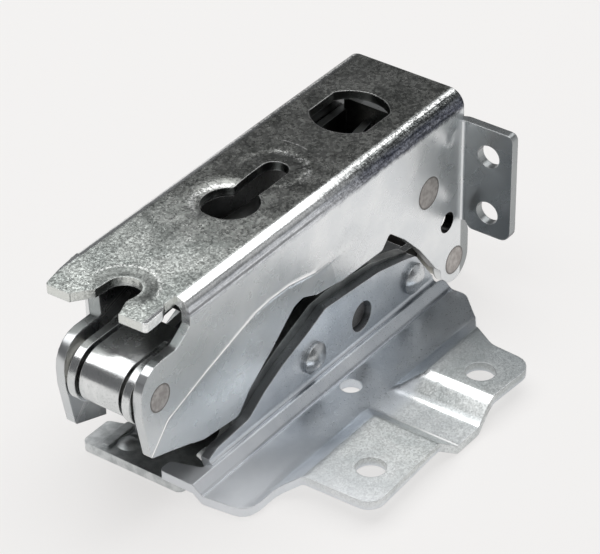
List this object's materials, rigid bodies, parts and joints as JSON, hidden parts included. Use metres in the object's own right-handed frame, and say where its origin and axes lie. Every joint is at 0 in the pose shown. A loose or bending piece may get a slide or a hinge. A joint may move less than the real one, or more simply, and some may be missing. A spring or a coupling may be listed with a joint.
{
  "type": "concealed refrigerator door hinge",
  "caption": "Concealed multi-link hinge in zinc-plated sheet steel for the door of a built-in refrigerator, shown closed.",
  "frame": {"origin": "half way between the two screw holes of the wings, in the plane of the wings' underside", "axes": "+X along the casing towards its rear end with the two-hole tab, +Y from the wings towards the casing, +Z away from the mounting face; the pivots lie along Y"},
  "size_m": [0.1101, 0.063, 0.0452],
  "materials": {
    "casing_sheet": "bright zinc plating over steel sheet, grainy and greyed on the web",
    "link_sheet": "bright zinc plating",
    "lever_sheet": "zinc plating, satin",
    "bracket_sheet": "zinc plating, satin",
    "plate_sheet": "bluish zinc plating, speckled on the wings",
    "pin_steel": "plain steel, riveted flush",
    "rivet_steel": "zinc plating",
    "spring_steel": "oiled spring wire",
    "spacer_plastic": "natural plastic"
  },
  "bodies": {
    "base": {"bearing_bracket": "bracket_sheet", "wing_plate": "plate_sheet", "base_rivets": "pin_steel", "link_base_pin": "pin_steel", "link_spacers": "spacer_plastic", "flange_rivets": "rivet_steel"},
    "main_lever": {"main_lever": "lever_sheet", "crossing_rivets": "pin_steel", "crossing_spacers": "spacer_plastic", "rear_link_pin": "pin_steel"},
    "cross_lever": {"cross_lever": "lever_sheet"},
    "rear_link": {"rear_link": "lever_sheet"},
    "short_link": {"short_link": "lever_sheet", "short_link_pin": "pin_steel"},
    "casing": {"casing": "casing_sheet", "upper_pin": "pin_steel", "lower_pin": "pin_steel", "front_pin": "pin_steel", "upper_spacers": "spacer_plastic", "lower_spacers": "spacer_plastic", "front_washers": "spacer_plastic", "front_spring": "spring_steel"},
    "front_link": {"front_link": "link_sheet"}
  },
  "joints": [
    {"name": "hinge_open", "type": "hinge", "parent": "base", "child": "main_lever", "pos_m": [0.01635, 0.0413, 0.0059], "axis": [0, 1, 0], "range_deg": [0, 95]},
    {"name": "lever_crossing", "type": "hinge", "parent": "main_lever", "child": "cross_lever", "pos_m": [-0.00565, 0.0413, 0.0275], "axis": [0, 1, 0], "range_deg": [-95, 0]},
    {"name": "casing_pivot", "type": "hinge", "parent": "cross_lever", "child": "casing", "pos_m": [0.03955, 0.0413, 0.0234], "axis": [0, 1, 0], "range_deg": [0, 95]},
    {"name": "rear_link_pivot", "type": "hinge", "parent": "main_lever", "child": "rear_link", "pos_m": [0.0043, 0.0413, 0.0055], "axis": [0, 1, 0], "range_deg": [-95, 0]},
    {"name": "short_link_pivot", "type": "hinge", "parent": "base", "child": "short_link", "pos_m": [-0.01365, 0.0413, 0.0031], "axis": [0, 1, 0], "range_deg": [0, 95]},
    {"name": "front_link_pivot", "type": "hinge", "parent": "casing", "child": "front_link", "pos_m": [-0.04915, 0.0413, 0.0252], "axis": [0, 1, 0], "range_deg": [-14.3, 0]}
  ],
  "couplings": [
    {"joint": "lever_crossing", "follows": "hinge_open", "ratio": -1},
    {"joint": "casing_pivot", "follows": "hinge_open", "ratio": 1},
    {"joint": "rear_link_pivot", "follows": "hinge_open", "ratio": -1},
    {"joint": "short_link_pivot", "follows": "hinge_open", "ratio": 1},
    {"joint": "front_link_pivot", "follows": "hinge_open", "ratio": -0.15}
  ]
}
